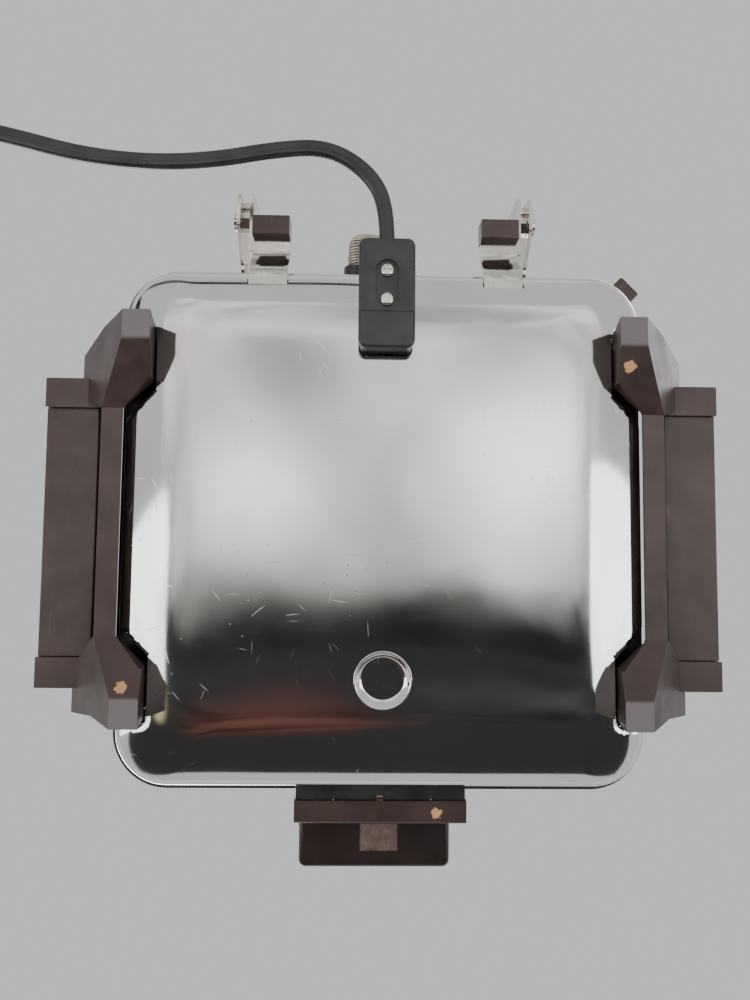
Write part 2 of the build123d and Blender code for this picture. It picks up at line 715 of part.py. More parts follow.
def bumper(x):
    """Phenolic block over the end of the leaf."""
    half = strap_width / 2
    z0 = leaf_height + strap_sheet / 2 - bumper_height / 2
    body = block(x - half + 0.2, x + half - 0.2, bumper_front, bumper_front + bumper_length,
                 z0, z0 + bumper_height)
    body = fillet(body.edges().filter_by(Axis.X), 1.2)
    return body - block(x - half - 1, x + half + 1, bumper_front - 1, leaf_end + 0.2,
                        leaf_height - screw_fit, leaf_height + strap_sheet + screw_fit)


def hinge_pin_solid():
    """Shouldered pin of the +X hinge: ear on its inner end, arm under its head."""
    ear = strap_x + strap_width / 2
    pin = rod_x(ear - 3, arm_x + arm_sheet + air + 2, hinge_y, hinge_z, hinge_pin)
    pin += rod_x(arm_x + arm_sheet + air, arm_x + arm_sheet + air + 2, hinge_y, hinge_z, 10)
    bush = Rot(0, 90, 0) * extrude(RegularPolygon(5.5, 6), amount=arm_x - ear - strap_sheet - 2 * air)
    return pin + Pos(ear + strap_sheet + air, hinge_y, hinge_z) * bush


def lid_arm():
    """Lid half of the +X hinge: inclined flange on the lid's rear wall and an upright side arm."""
    low, high = lid_rim + 3, lid_rim + 20
    flange = prism_x([(lid_wall_y(low), low), (lid_wall_y(low) + flange_sheet, low),
                      (lid_wall_y(high) + flange_sheet, high), (lid_wall_y(high), high)],
                     flange_inner, arm_x + arm_sheet)
    tail = hinge_y + arm_reach
    arm = prism_x([(lid_wall_y(low), low), (lid_wall_y(high), high), (152, high), (tail - 3, hinge_z + 12),
                   (tail, hinge_z + 8), (tail, hinge_z - 5), (tail - 4, hinge_z - 9),
                   (hinge_y - 5, hinge_z - 9), (148, low - 5)], arm_x, arm_x + arm_sheet)
    arm += prism_x([(lid_wall_y(low), low), (lid_wall_y(high), high), (151, high), (151, low)],
                   arm_x - flange_sheet, arm_x)
    arm -= rod_x(arm_x - 5, arm_x + 5, hinge_y, hinge_z, hinge_pin + 2 * running)
    arm -= rod_x(arm_x - 5, arm_x + 5, stop_y, stop_z, 4 + 2 * screw_fit)
    body = flange + arm
    for place in arm_rivet_places():
        body -= place * Cylinder(2 + screw_fit, 20)
    return body


def arm_rivet_places():
    """Planes on the lid's outside at the +X arm's rivets, facing out of its rear wall."""
    z = lid_rim + 11
    lean = math.atan2(crease_inset, lid_skirt)
    normal = (0, math.cos(lean), math.sin(lean))
    return [Plane(origin=(x, lid_wall_y(z), z), x_dir=(1, 0, 0), z_dir=normal)
            for x in (flange_inner + 9, flange_inner + 29)]


def arm_rivets():
    rivets = []
    for place in arm_rivet_places():
        tail = Pos(0, 0, -(sheet + 1.2) / 2 - sheet / 2 + 0.1) * Cylinder(3, 1)
        shank = Pos(0, 0, (flange_sheet - sheet) / 2) * Cylinder(2, flange_sheet + sheet + 1)
        head = Pos(0, 0, flange_sheet + 0.8) * Cylinder(3.4, 1.6)
        rivets.append(place * (tail + shank + fillet(head.edges().group_by(Axis.Z)[-1], 1.2)))
    return rivets


def stop_rivet():
    """Round stop at the +X arm's tail."""
    stop = rod_x(arm_x - 5, arm_x, stop_y, stop_z, 6.5)
    shank = rod_x(arm_x - 1, arm_x + arm_sheet + 1, stop_y, stop_z, 4)
    head = rod_x(arm_x + arm_sheet, arm_x + arm_sheet + 1.4, stop_y, stop_z, 6.5)
    return stop + shank + head


def conduit_grommet(x, z, wall):
    """Bushing in a rear wall, where the conduit ends."""
    ring = rod_y(x, wall - 4, conduit_start, z, grommet_diameter)
    return ring - rod_y(x, wall - 5, conduit_start + 1, z, 6)


def conduit():
    """Coiled guard of the wires between base and lid, as its outer shape."""
    base_x, lid_x = conduit_x, -conduit_x
    route = [(base_x, conduit_start, conduit_base_z), (base_x, conduit_apex, conduit_base_z),
             (lid_x, conduit_apex, conduit_lid_z), (lid_x, conduit_start, conduit_lid_z)]
    path = FilletPolyline(*route, radius=[9, 9])
    return sweep(Plane(origin=path @ 0, z_dir=path % 0) * Circle(conduit_diameter / 2), path=path)


# ---------------------------------------------------------------- browning control
def thermostat():
    """Control body in the lid's rear corner, hung from the shell, with the lever's spindle."""
    room = flip(dish(sheet + air, mirror_height - lid_top + sheet + air,
                     mirror_height - lid_crease + sheet / 2 + air, rim_height - sheet))
    low = lever_height + lever_sheet / 2 + 2
    body = block(lever_x - 12, lever_x + 18, lever_y - 18, lever_y + 12, low, lid_top) & room
    spindle = rod(lever_x, lever_y, lever_height - 4, low + 1, 5)
    return body + spindle


def lever_arm():
    """Steel strip on the spindle, out through the lid's corner window."""
    hub = rod(lever_x, lever_y, lever_height - lever_sheet / 2, lever_height + lever_sheet / 2 + 1.5, 11)
    strip = Box(knob_centre + 5, lever_width, lever_sheet)
    strip = Rot(0, 0, 135) * Pos((knob_centre + 5) / 2, 0, 0) * strip
    lever = hub + Pos(lever_x, lever_y, lever_height) * strip
    return lever - rod(lever_x, lever_y, 0, lever_height + 30, 5 + 2 * running)


def lever_knob():
    body = Box(knob_length, knob_width, knob_height)
    body = fillet(body.edges(), 1.5)
    body -= Pos(-knob_length / 2, 0, 0) * Box(2 * (knob_length / 2 + 5 + screw_fit), lever_width + 0.1,
                                              lever_sheet + 0.1)
    return Pos(lever_x, lever_y, lever_height) * Rot(0, 0, 135) * Pos(knob_centre, 0, 0) * body


def spindle_clip():
    """Retaining ring under the lever's hub."""
    z = lever_height - lever_sheet / 2 - 0.1
    ring = rod(lever_x, lever_y, z - 0.8, z, 8.5)
    return ring - rod(lever_x, lever_y, z - 2, z + 1, 5)


# ---------------------------------------------------------------- the nodes
keep("base_shell", base_shell())
keep("lid_shell", lid_shell())
grid = waffle_grid()
keep("base_grid", grid)
keep("lid_grid", flip(grid))
for name, solids in heat_stack(floor_top).items():
    keep("base_" + name, *solids)
for name, solids in heat_stack(mirror_height - lid_top + sheet).items():
    keep("lid_" + name, *[flip(solid) for solid in solids])

handle = side_handle()
keep("side_handle_right", handle)
keep("side_handle_left", mirror(handle, Plane.YZ))
panel = grip_panel()
keep("grip_panel_right", panel)
keep("grip_panel_left", mirror(panel, Plane.YZ))
keep("side_handle_spacers", *[s for piece in handle_spacers() for s in both_sides(piece)])
keep("side_handle_screws", *[s for piece in handle_screws() for s in both_sides(piece)])

keep("base_front_spacer", front_spacer())
keep("base_front_bar", front_bar())
keep("base_front_screws", *front_screws(front_screw_height, wall_y(front_screw_height - 3.75) - 1.1,
                                        front_bar_near + front_screw_grip - 0.5))
keep("lid_handle_spacer", lid_spacer())
keep("lid_front_handle", lid_handle())
keep("lid_handle_cap", lid_handle_cap())
keep("lid_handle_screws", *front_screws(lid_screw_height, lid_wall_y(lid_screw_height + 3.75) - 1.1,
                                        lid_handle_near + lid_screw_grip - 0.5))
keep("signal_lamp_lens", lamp_lens())
keep("signal_lamp", lamp())

keep("terminal_housing", terminal_housing())
keep("terminal_cover", terminal_cover())
keep("terminal_cover_screws", *cover_screws())
keep("power_cord", cord_tube())
keep("cord_coil", cord_coil())
keep("cord_tail", cord_tail())
keep("power_plug", plug())
keep("plug_blades", *plug_blades())

keep("hinge_bracket_right", hinge_bracket(strap_x))
keep("hinge_bracket_left", hinge_bracket(-strap_x))
keep("hinge_bumpers", bumper(strap_x), bumper(-strap_x))
keep("hinge_pins", *both_sides(hinge_pin_solid()))
arm = lid_arm()
keep("lid_hinge_arm_right", arm)
keep("lid_hinge_arm_left", mirror(arm, Plane.YZ))
keep("lid_arm_rivets", *[s for piece in arm_rivets() for s in both_sides(piece)])
keep("lid_stop_rivets", *both_sides(stop_rivet()))
keep("base_conduit_grommet", conduit_grommet(conduit_x, conduit_base_z, wall_y(conduit_base_z)))
keep("lid_conduit_grommet", conduit_grommet(-conduit_x, conduit_lid_z, lid_wall_y(conduit_lid_z)))
keep("conduit_spring", conduit())

keep("thermostat_body", thermostat())
keep("browning_lever", lever_arm())
keep("browning_lever_knob", lever_knob())
keep("browning_lever_clip", spindle_clip())

os.makedirs("parts", exist_ok=True)
for name, body in PARTS.items():
    export_step(body, f"parts/{name}.step")
print(len(PARTS), "nodes; y shift", shift_y, "; lid rim", lid_rim, "; lid top", lid_top)
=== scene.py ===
import json
import math

import bmesh
import bpy
import numpy as np
from mathutils import Matrix, Vector


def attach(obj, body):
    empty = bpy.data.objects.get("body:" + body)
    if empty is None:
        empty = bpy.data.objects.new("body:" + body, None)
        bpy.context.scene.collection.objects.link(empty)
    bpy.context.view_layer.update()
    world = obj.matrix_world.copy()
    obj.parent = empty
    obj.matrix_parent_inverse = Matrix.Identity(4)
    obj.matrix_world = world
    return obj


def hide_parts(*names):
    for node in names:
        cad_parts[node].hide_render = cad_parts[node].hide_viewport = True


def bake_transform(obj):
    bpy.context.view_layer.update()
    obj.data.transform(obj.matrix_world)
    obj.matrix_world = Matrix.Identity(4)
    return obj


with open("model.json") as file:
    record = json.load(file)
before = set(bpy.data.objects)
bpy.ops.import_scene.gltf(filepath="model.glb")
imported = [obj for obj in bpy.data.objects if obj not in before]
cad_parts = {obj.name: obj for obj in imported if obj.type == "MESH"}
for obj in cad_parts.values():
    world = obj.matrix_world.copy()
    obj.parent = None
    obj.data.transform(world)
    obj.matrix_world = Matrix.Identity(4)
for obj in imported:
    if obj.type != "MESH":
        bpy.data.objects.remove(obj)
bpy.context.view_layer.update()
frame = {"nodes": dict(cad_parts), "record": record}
nodes = frame["nodes"]
MM = 0.001
SHIFT = 0.0015          # the body's middle along Y, in the frame

# ------------------------------------------------------------------ camera
# The object is seen from below, as when it is stood on its front edge to show its underside.
CAMERA_AT = Vector((0.011, -0.0093, -0.328))
CAMERA_PITCH, CAMERA_YAW, CAMERA_ROLL = 3.738, 1.060, -0.583      # degrees
LENS = 24.86


def camera():
    data = bpy.data.cameras.new("camera")
    data.lens = LENS
    data.clip_start = 0.01
    forward = Vector((-math.tan(math.radians(CAMERA_YAW)), math.tan(math.radians(CAMERA_PITCH)), 1))
    forward.normalize()
    right = forward.cross(Vector((0, 1, 0))).normalized()
    up = right.cross(forward)
    turn = Matrix.Rotation(math.radians(CAMERA_ROLL), 3, forward)
    basis = turn @ Matrix((right, up, -forward)).transposed()
    thing = bpy.data.objects.new("camera", data)
    thing.matrix_world = Matrix.Translation(CAMERA_AT) @ basis.to_4x4()
    bpy.context.collection.objects.link(thing)
    bpy.context.scene.camera = thing


camera()

# ------------------------------------------------------------------ cord
# The chosen points of the route, then the coil's turns and the tail, all one spline.
CORD_ROUTE = [(0, 140, 8), (0, 158, 8), (9, 175, 6), (30, 187, 4.3), (56, 185, 4.2), (86, 179, 4.2),
              (118, 177, 4.2), (152, 180, 3.6), (184, 188, 2.8), (214, 194, 2.4)]
CORD_TAIL = [(287, 137, 6.9), (287, 121, 6.2), (287, 111, 7.0), (287, 103, 7.5), (287, 99, 7.5)]
COIL_AT = (243, 150)
COIL_TURNS = 3.25
TURN_POINTS = 14
CORD_WIDTH, CORD_THICK = 8.0, 4.4


def ease(x, low, high):
    x = min(1, max(0, (x - low) / (high - low)))
    return x * x * (3 - 2 * x)


def coil_points():
    """Clockwise from the back: the outer and the inner turn on the table, the last one on top of them."""
    points = []
    count = round(COIL_TURNS * TURN_POINTS)
    for i in range(count + 1):
        lap = i / TURN_POINTS
        angle = math.pi / 2 - 2 * math.pi * lap
        radius = 49.2 - 8.6 * ease(lap, 0.75, 1.15) + 4.2 * ease(lap, 1.8, 2.1)
        radius += 0.5 * math.sin(5.1 * lap)
        height = 2.3 + 4.6 * ease(lap, 1.78, 2.02)
        points.append((COIL_AT[0] + radius * math.cos(angle), COIL_AT[1] + radius * math.sin(angle), height))
    return points


def cord_section():
    """Flat two-conductor section: two round cores with a shallow groove between them on each face."""
    data = bpy.data.curves.new("cord_section", "CURVE")
    data.dimensions = "2D"
    spline = data.splines.new("POLY")
    core = CORD_THICK / 2
    reach = CORD_WIDTH / 2 - core
    lobe = [math.radians(a) for a in range(-120, 121, 20)]
    outline = [(reach + core * math.cos(a), core * math.sin(a)) for a in lobe]
    outline += [(-x, -y) for x, y in outline]
    spline.points.add(len(outline) - 1)
    for point, (x, y) in zip(spline.points, outline):
        point.co = (x * MM, y * MM, 0, 1)
    spline.use_cyclic_u = True
    section = bpy.data.objects.new("cord_section", data)
    bpy.context.collection.objects.link(section)
    return section


def nurbs(name, points, resolution):
    """A smooth curve through space with these control points, in millimetres from the body's middle."""
    data = bpy.data.curves.new(name, "CURVE")
    data.dimensions = "3D"
    data.twist_mode = "Z_UP"
    data.resolution_u = resolution
    spline = data.splines.new("NURBS")
    spline.points.add(len(points) - 1)
    for point, (x, y, z) in zip(spline.points, points):
        point.co = (x * MM, y * MM + SHIFT, z * MM, 1)
    spline.order_u = 3
    spline.use_endpoint_u = True
    thing = bpy.data.objects.new(name, data)
    bpy.context.collection.objects.link(thing)
    return thing


def applied(thing):
    """The thing's mesh with its modifiers applied."""
    graph = bpy.context.evaluated_depsgraph_get()
    return bpy.data.meshes.new_from_object(thing.evaluated_get(graph))


def cord():
    """The lead as a flat tube along its spline, and the points that it follows."""
    curve = nurbs("lead_line", CORD_ROUTE + coil_points() + CORD_TAIL, 6)
    path = [tuple(v.co) for v in applied(curve).vertices]
    section = cord_section()
    curve.data.bevel_mode = "OBJECT"
    curve.data.bevel_object = section
    curve.data.use_fill_caps = True
    mesh = applied(curve)
    mesh.polygons.foreach_set("use_smooth", [True] * len(mesh.polygons))
    bpy.data.objects.remove(curve)
    bpy.data.objects.remove(section)
    lead = bpy.data.objects.new("power_lead", mesh)
    bpy.context.collection.objects.link(lead)
    return lead, path


power_lead, lead_path = cord()
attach(power_lead, "base")
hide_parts("power_cord", "cord_coil", "cord_tail")


# ------------------------------------------------------------------ materials
class Nodes:
    """Short hand for a node material: every method returns an output socket."""

    def __init__(self, name):
        self.material = bpy.data.materials.new(name)
        self.material.use_nodes = True
        self.tree = self.material.node_tree
        self.shader = self.tree.nodes["Principled BSDF"]
        self.place = self.new("ShaderNodeTexCoord").outputs["Object"]

    def new(self, kind, **settings):
        node = self.tree.nodes.new(kind)
        for key, value in settings.items():
            setattr(node, key, value)
        return node

    def link(self, source, target):
        self.tree.links.new(source, target)

    def noise(self, scale, detail=4.0, rough=0.55, stretch=None, warp=0.0):
        node = self.new("ShaderNodeTexNoise")
        node.inputs["Scale"].default_value = scale
        node.inputs["Detail"].default_value = detail
        node.inputs["Roughness"].default_value = rough
        node.inputs["Distortion"].default_value = warp
        self.link(self.stretched(stretch) if stretch else self.place, node.inputs["Vector"])
        return node.outputs["Fac"]

    def stretched(self, stretch, turn=0.0):
        node = self.new("ShaderNodeMapping")
        node.inputs["Scale"].default_value = stretch
        node.inputs["Rotation"].default_value = (0, 0, turn)
        self.link(self.place, node.inputs["Vector"])
        return node.outputs["Vector"]

    def strokes(self, turn, scale, seed, length):
        """Hair-thin, slightly bent strokes in one direction, far apart; length is how far they stretch."""
        bent = self.new("ShaderNodeTexNoise")
        bent.inputs["Scale"].default_value = 14
        self.link(self.place, bent.inputs["Vector"])
        push = self.new("ShaderNodeVectorMath", operation="MULTIPLY_ADD")
        self.link(bent.outputs["Color"], push.inputs[0])
        push.inputs[1].default_value = (0.03, 0.03, 0.03)
        self.link(self.place, push.inputs[2])
        mapping = self.new("ShaderNodeMapping", vector_type="TEXTURE")
        mapping.inputs["Location"].default_value = (seed, seed * 0.7, 0)
        mapping.inputs["Rotation"].default_value = (0, 0, turn)
        mapping.inputs["Scale"].default_value = (1, length, 50)
        self.link(push.outputs["Vector"], mapping.inputs["Vector"])
        cells = self.new("ShaderNodeTexVoronoi", feature="F1")
        cells.inputs["Scale"].default_value = scale
        cells.inputs["Randomness"].default_value = 1.0
        self.link(mapping.outputs["Vector"], cells.inputs["Vector"])
        return self.level(cells.outputs["Distance"], 0.085, 0.03)

    def cells(self, scale, feature="F1"):
        node = self.new("ShaderNodeTexVoronoi", feature=feature)
        node.inputs["Scale"].default_value = scale
        self.link(self.place, node.inputs["Vector"])
        return node.outputs["Distance"]

    def level(self, source, low, high, to_low=0.0, to_high=1.0):
        node = self.new("ShaderNodeMapRange")
        for key, value in zip(("From Min", "From Max", "To Min", "To Max"), (low, high, to_low, to_high)):
            node.inputs[key].default_value = value
        self.link(source, node.inputs["Value"])
        return node.outputs["Result"]

    def sums(self, operation, a, b):
        node = self.new("ShaderNodeMath", operation=operation, use_clamp=True)
        for socket, value in zip(node.inputs, (a, b)):
            if isinstance(value, float):
                socket.default_value = value
            else:
                self.link(value, socket)
        return node.outputs["Value"]

    def mix(self, share, a, b):
        node = self.new("ShaderNodeMix", data_type="RGBA")
        self.link(share, node.inputs["Factor"])
        for socket, value in zip((node.inputs[6], node.inputs[7]), (a, b)):
            if isinstance(value, tuple):
                socket.default_value = (*value, 1)
            else:
                self.link(value, socket)
        return node.outputs[2]

    def near(self, centre, radius, soft):
        """1 inside a ball, 0 outside, with an uneven edge."""
        node = self.new("ShaderNodeVectorMath", operation="DISTANCE")
        self.link(self.place, node.inputs[0])
        node.inputs[1].default_value = centre
        uneven = self.new("ShaderNodeMath", operation="ADD")
        self.link(node.outputs["Value"], uneven.inputs[0])
        self.link(self.level(self.noise(420), 0.3, 0.7, -soft, soft), uneven.inputs[1])
        return self.level(uneven.outputs["Value"], radius + soft * 0.3, radius - soft * 0.3)

    def bump(self, source, depth, below=None):
        node = self.new("ShaderNodeBump")
        node.inputs["Strength"].default_value = 1.0
        node.inputs["Distance"].default_value = depth
        self.link(source, node.inputs["Height"])
        if below is not None:
            self.link(below, node.inputs["Normal"])
        return node.outputs["Normal"]

    def finish(self, colour, rough, normal=None, metal=0.0, **constants):
        self.link(colour, self.shader.inputs["Base Color"])
        self.link(rough, self.shader.inputs["Roughness"])
        if normal is not None:
            self.link(normal, self.shader.inputs["Normal"])
        self.shader.inputs["Metallic"].default_value = metal
        for key, value in constants.items():
            self.shader.inputs[key.replace("_", " ")].default_value = value
        return self.material


SHORT_SCRATCHES = ((0.3, 300, 1.7), (0.9, 260, 5.1), (1.7, 320, 9.4), (2.4, 280, 13.2), (2.9, 340, 21.5))
SHORT, LONG = 16, 70    # how far the strokes stretch


def chrome():
    n = Nodes("chrome")
    scratches = None
    for turn, scale, seed in SHORT_SCRATCHES:
        thin = n.strokes(turn, scale, seed, SHORT)
        scratches = thin if scratches is None else n.sums("MAXIMUM", scratches, thin)
    scratches = n.sums("MULTIPLY", scratches, n.level(n.noise(13, 3), 0.47, 0.62))
    long_one = n.sums("MULTIPLY", n.strokes(1.35, 90, 3.3, LONG), 0.5)
    scratches = n.sums("MAXIMUM", scratches, long_one)
    specks = n.level(n.cells(150), 0.075, 0.05)
    specks = n.sums("MULTIPLY", specks, n.level(n.noise(14, 2), 0.5, 0.62))
    haze = n.level(n.noise(18, 5, 0.6), 0.3, 0.75, 0.045, 0.13)
    rough = n.sums("ADD", haze, n.sums("MULTIPLY", n.sums("MAXIMUM", scratches, specks), 0.32))
    tone = n.mix(n.level(n.noise(12, 5), 0.35, 0.7), (0.80, 0.79, 0.775), (0.72, 0.70, 0.68))
    tone = n.mix(specks, tone, (0.42, 0.38, 0.33))
    dab = n.near((-0.0295, -0.1335, 0.026), 0.0022, 0.001)
    tone = n.mix(dab, tone, (0.42, 0.27, 0.13))
    rough = n.sums("ADD", rough, n.sums("MULTIPLY", dab, 0.4))
    dents = n.bump(n.noise(7, 1.5, 0.4, None, 0.8), 0.0009)
    dents = n.bump(n.noise(26, 1, 0.4, (1, 0.5, 1)), 0.00016, dents)
    normal = n.bump(n.sums("SUBTRACT", 1.0, scratches), 0.000012, dents)
    return n.finish(tone, rough, normal, 1.0)


def phenolic(name, dark, light, dabs=()):
    n = Nodes(name)
    tone = n.mix(n.level(n.noise(55, 6, 0.6), 0.35, 0.68), dark, light)
    scuff = n.level(n.noise(60, 3, 0.6, (3, 0.25, 3)), 0.66, 0.74)
    scuff = n.sums("MULTIPLY", scuff, n.level(n.noise(24, 2), 0.5, 0.6))
    tone = n.mix(n.sums("MULTIPLY", scuff, 0.35), tone, tuple(2.6 * c + 0.02 for c in light))
    height = n.new("ShaderNodeSeparateXYZ")
    n.link(n.place, height.inputs[0])
    worn = n.level(height.outputs["Z"], 0.0009, 0.0001)
    tone = n.mix(n.sums("MULTIPLY", worn, 0.8), tone, (0.115, 0.10, 0.10))
    rough = n.level(n.noise(38, 5, 0.65), 0.3, 0.7, 0.3, 0.5)
    rough = n.sums("ADD", rough, n.sums("MULTIPLY", worn, 0.25))
    for centre, radius in dabs:
        dab = n.near(centre, radius, 0.0011)
        tone = n.mix(dab, tone, (0.40, 0.21, 0.085))
        rough = n.sums("ADD", rough, n.sums("MULTIPLY", dab, 0.25))
    normal = n.bump(n.noise(900, 3, 0.6), 0.00003, n.bump(n.noise(48, 2, 0.5), 0.00012))
    return n.finish(tone, rough, normal, 0.0, IOR=1.52)


def satin(name, dark, light, rough_low, rough_high, grain=1400, depth=0.00004):
    n = Nodes(name)
    tone = n.mix(n.level(n.noise(70, 5, 0.6), 0.35, 0.7), dark, light)
    dust = n.level(n.cells(420), 0.06, 0.03)
    dust = n.sums("MULTIPLY", dust, n.level(n.noise(40, 2), 0.5, 0.6))
    tone = n.mix(n.sums("MULTIPLY", dust, 0.5), tone, (0.25, 0.24, 0.22))
    rough = n.level(n.noise(45, 5, 0.6), 0.3, 0.7, rough_low, rough_high)
    return n.finish(tone, rough, n.bump(n.noise(grain, 2, 0.6), depth))


def metal(name, dark, light, rough_low, rough_high, brushed=(1, 1, 1), depth=0.00003, tarnish=None,
          metallic=1.0, grain=260):
    n = Nodes(name)
    lines = n.noise(grain, 4, 0.6, brushed)
    tone = n.mix(n.level(lines, 0.3, 0.7), dark, light)
    if tarnish:
        stain = n.level(n.noise(60, 5, 0.65), 0.5, 0.68)
        tone = n.mix(n.sums("MULTIPLY", stain, 0.7), tone, tarnish)
    rough = n.level(n.noise(80, 5, 0.6, brushed), 0.3, 0.7, rough_low, rough_high)
    return n.finish(tone, rough, n.bump(lines, depth), metallic)


def lens_material():
    n = Nodes("lamp_lens")
    weave = n.new("ShaderNodeTexChecker")
    weave.inputs["Scale"].default_value = 640
    n.link(n.place, weave.inputs["Vector"])
    tone = n.mix(n.level(n.noise(160, 5, 0.6), 0.35, 0.7), (0.10, 0.062, 0.05), (0.17, 0.115, 0.10))
    rough = n.level(n.noise(120, 3), 0.3, 0.7, 0.22, 0.42)
    normal = n.bump(weave.outputs["Fac"], 0.00005)
    return n.finish(tone, rough, normal, 0.0, Transmission_Weight=0.25, IOR=1.49, Coat_Weight=0.4)


TAN_DABS = (((0.1235, -0.0783, 0.0046), 0.0031), ((-0.1205, 0.0805, 0.0064), 0.0030),
            ((-0.0285, -0.1455, 0.033), 0.0025))
MATERIALS = {
    "chrome_shell": chrome(),
    "brown_phenolic": phenolic("brown_phenolic", (0.026, 0.014, 0.0125), (0.042, 0.024, 0.021), TAN_DABS),
    "dark_phenolic": phenolic("dark_phenolic", (0.010, 0.006, 0.0055), (0.018, 0.011, 0.010)),
    "black_plastic": satin("black_plastic", (0.011, 0.011, 0.012), (0.022, 0.022, 0.024), 0.28, 0.42),
    "cord_jacket": satin("cord_jacket", (0.009, 0.009, 0.010), (0.018, 0.018, 0.019), 0.22, 0.36, 700),
    "ceramic": satin("ceramic", (0.62, 0.57, 0.48), (0.78, 0.74, 0.66), 0.5, 0.7, 900, 0.00008),
    "cast_grid": metal("cast_grid", (0.035, 0.032, 0.030), (0.075, 0.069, 0.063), 0.42, 0.62, (1, 1, 1),
                       0.0001, (0.030, 0.020, 0.012), 0.7, 700),
    "bright_tray": metal("bright_tray", (0.60, 0.60, 0.60), (0.78, 0.78, 0.77), 0.2, 0.38, (14, 1, 1),
                         0.00002, (0.55, 0.50, 0.42)),
    "plated_steel": metal("plated_steel", (0.62, 0.60, 0.55), (0.72, 0.70, 0.66), 0.10, 0.22, (1, 1, 1),
                          0.000004, (0.52, 0.45, 0.31)),
    "heater_sheath": metal("heater_sheath", (0.10, 0.095, 0.09), (0.20, 0.18, 0.165), 0.38, 0.55,
                           (1, 1, 1), 0.00006, (0.13, 0.09, 0.06), 0.9, 500),
    "brass_blades": metal("brass_blades", (0.66, 0.50, 0.24), (0.80, 0.66, 0.36), 0.2, 0.34, (1, 12, 1)),
    "spring_wire": metal("spring_wire", (0.50, 0.45, 0.36), (0.70, 0.64, 0.54), 0.2, 0.36, (1, 1, 1),
                         0.00002, (0.40, 0.31, 0.19)),
    "lamp_lens": lens_material(),
    "lamp_glass": satin("lamp_glass", (0.45, 0.22, 0.12), (0.60, 0.34, 0.20), 0.08, 0.2),
}


def paint(thing, slot):
    """The finish of a material slot on every face of a piece."""
    thing.data.materials.clear()
    thing.data.materials.append(MATERIALS[slot])


# ------------------------------------------------------------------ CAD nodes: softened edges and finishes
SOFT_EDGE = {"side_handle_right": 0.8, "side_handle_left": 0.8, "base_front_bar": 0.7, "hinge_bumpers": 0.6,
             "terminal_housing": 0.4, "terminal_cover": 0.4, "lid_front_handle": 0.6,
             "base_front_spacer": 0.4,
             "lid_handle_spacer": 0.4, "grip_panel_right": 0.4, "grip_panel_left": 0.4, "base_grid": 0.5,
             "lid_grid": 0.5, "hinge_bracket_right": 0.3, "hinge_bracket_left": 0.3,
             "lid_hinge_arm_right": 0.3, "lid_hinge_arm_left": 0.3, "browning_lever": 0.3,
             "browning_lever_knob": 0.4, "plug_blades": 0.2, "lid_handle_cap": 0.4}


def soften(thing, width):
    weld = thing.modifiers.new("weld", "WELD")
    weld.merge_threshold = 0.00001
    bevel = thing.modifiers.new("edges", "BEVEL")
    bevel.width = width * MM
    bevel.segments = 2
    bevel.limit_method = "ANGLE"
    bevel.angle_limit = math.radians(34)
    bevel.harden_normals = True


for entry in frame["record"]["subparts"]:
    node = nodes[entry["node"]]
    paint(node, entry["material_slot"])
    if entry["node"] in SOFT_EDGE:
        soften(node, SOFT_EDGE[entry["node"]])


# ------------------------------------------------------------------ mesh helpers
def piece(name, mesh, slot, body=None):
    thing = bpy.data.objects.new(name, mesh)
    bpy.context.collection.objects.link(thing)
    paint(thing, slot)
    if body:
        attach(thing, body)
    return thing


def mesh_from(name, points, faces):
    """A smooth mesh from points in millimetres from the body's middle."""
    mesh = bpy.data.meshes.new(name)
    mesh.from_pydata([(x * MM, y * MM + SHIFT, z * MM) for x, y, z in points], [], faces)
    mesh.validate()
    mesh.polygons.foreach_set("use_smooth", [True] * len(mesh.polygons))
    return mesh


def lattice_faces(rows, columns, closed=True):
    faces = []
    for r in range(rows - 1):
        for c in range(columns if closed else columns - 1):
            d = (c + 1) % columns
            faces.append((r * columns + c, r * columns + d, (r + 1) * columns + d, (r + 1) * columns + c))
    return faces


def sharpen(mesh, degrees):
    """Edges steeper than this stay sharp; the rest shade smooth."""
    work = bmesh.new()
    work.from_mesh(mesh)
    for edge in work.edges:
        edge.smooth = len(edge.link_faces) != 2 or edge.calc_face_angle(0) < math.radians(degrees)
    for face in work.faces:
        face.smooth = True
    work.to_mesh(mesh)
    work.free()


def line_of(points, resolution):
    """Points along the smooth curve with these control points, in millimetres from the body's middle."""
    curve = nurbs("line", points, resolution)
    line = applied(curve)
    found = np.array([v.co for v in line.vertices]) / MM - np.array([0, SHIFT / MM, 0])
    bpy.data.objects.remove(curve)
    return found


# ------------------------------------------------------------------ the two chrome shells
HALF_X, HALF_Y = 142.0, 140.0
RIM, CREASE, BELLY = 54.0, 25.0, 14.0
CREASE_INSET, BELLY_EDGE = 9.5, 52.0
CROWN = 2.6
POCKET_LOW, POCKET_HIGH, POCKET_WALL, POCKET_TOP = 66.0, 100.0, 116.0, 42.0
POCKET_SLANT = 0.84     # its side towards the middle slants by this much for each millimetre outwards
RECESS = (0.0, -76.5)
MIRROR = 114.6          # base levels and lid levels add up to this


